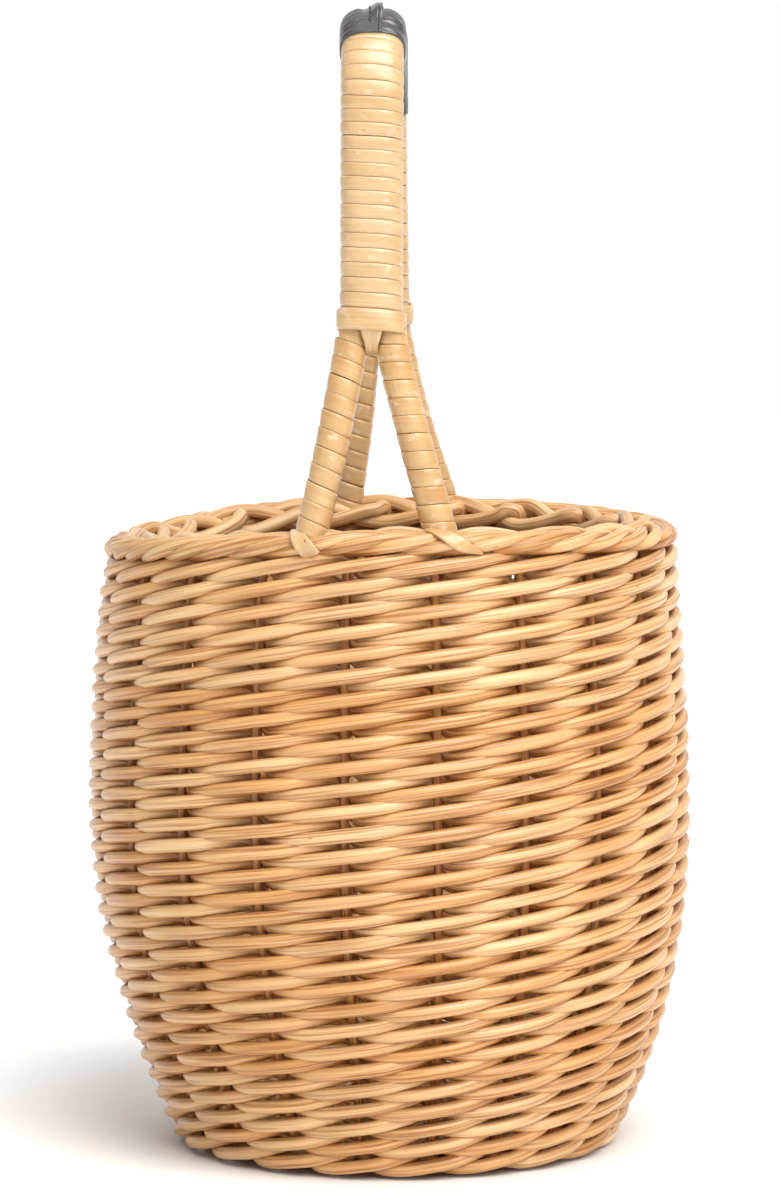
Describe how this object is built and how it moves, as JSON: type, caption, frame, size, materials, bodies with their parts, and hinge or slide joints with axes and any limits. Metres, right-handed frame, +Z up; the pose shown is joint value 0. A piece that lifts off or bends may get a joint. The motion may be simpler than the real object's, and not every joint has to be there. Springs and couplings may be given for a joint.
{
  "type": "bucket bag",
  "caption": "Round woven cane bucket bag with a rolled border and a tall cane-wrapped arch handle whose grip is covered by a seamed black leather sleeve.",
  "frame": {"origin": "centre of the foot, on the surface that the bag stands on", "axes": "+Z up; the handle's arch lies in the Y-Z plane, with the front at -Y; +X is the bag's right as seen from the front"},
  "size_m": [0.2168, 0.2168, 0.4099],
  "materials": {
    "weaving_cane": "satin round cane, honey beige, fine lengthwise grain",
    "stake_cane": "matt round cane",
    "border_cane": "satin round cane, pale honey",
    "handle_cane": "glossy flat wrapping cane",
    "black_leather": "soft black leather, satin",
    "seam_thread": "black waxed thread"
  },
  "bodies": {
    "root": {"lower_base_stick_1": "stake_cane", "lower_base_stick_2": "stake_cane", "lower_base_stick_3": "stake_cane", "lower_base_stick_4": "stake_cane", "lower_base_stick_5": "stake_cane", "upper_base_stick_1": "stake_cane", "upper_base_stick_2": "stake_cane", "upper_base_stick_3": "stake_cane", "upper_base_stick_4": "stake_cane", "upper_base_stick_5": "stake_cane", "base_weaving": "weaving_cane", "foot_weaving": "weaving_cane", "side_stake_01": "stake_cane", "side_stake_02": "stake_cane", "side_stake_03": "stake_cane", "side_stake_04": "stake_cane", "side_stake_05": "stake_cane", "side_stake_06": "stake_cane", "side_stake_07": "stake_cane", "side_stake_08": "stake_cane", "side_stake_09": "stake_cane", "side_stake_10": "stake_cane", "side_stake_11": "stake_cane", "side_stake_12": "stake_cane", "side_stake_13": "stake_cane", "side_stake_14": "stake_cane", "side_stake_15": "stake_cane", "side_stake_16": "stake_cane", "side_stake_17": "stake_cane", "side_stake_18": "stake_cane", "side_stake_19": "stake_cane", "side_stake_20": "stake_cane", "wall_weaving_1": "weaving_cane", "wall_weaving_2": "weaving_cane", "wall_weaving_3": "weaving_cane", "wall_weaving_4": "weaving_cane", "rolled_border": "border_cane", "inner_border_plait": "border_cane", "left_handle_rod": "stake_cane", "right_handle_rod": "stake_cane", "grip_packing": "stake_cane", "front_left_leg_wrap": "handle_cane", "front_right_leg_wrap": "handle_cane", "back_left_leg_wrap": "handle_cane", "back_right_leg_wrap": "handle_cane", "front_left_foot_binding": "handle_cane", "front_right_foot_binding": "handle_cane", "back_left_foot_binding": "handle_cane", "back_right_foot_binding": "handle_cane", "front_fork_collar": "handle_cane", "back_fork_collar": "handle_cane", "front_column_wrap": "handle_cane", "back_column_wrap": "handle_cane", "leather_sleeve": "black_leather", "seam_thread": "seam_thread"}
  },
  "joints": []
}
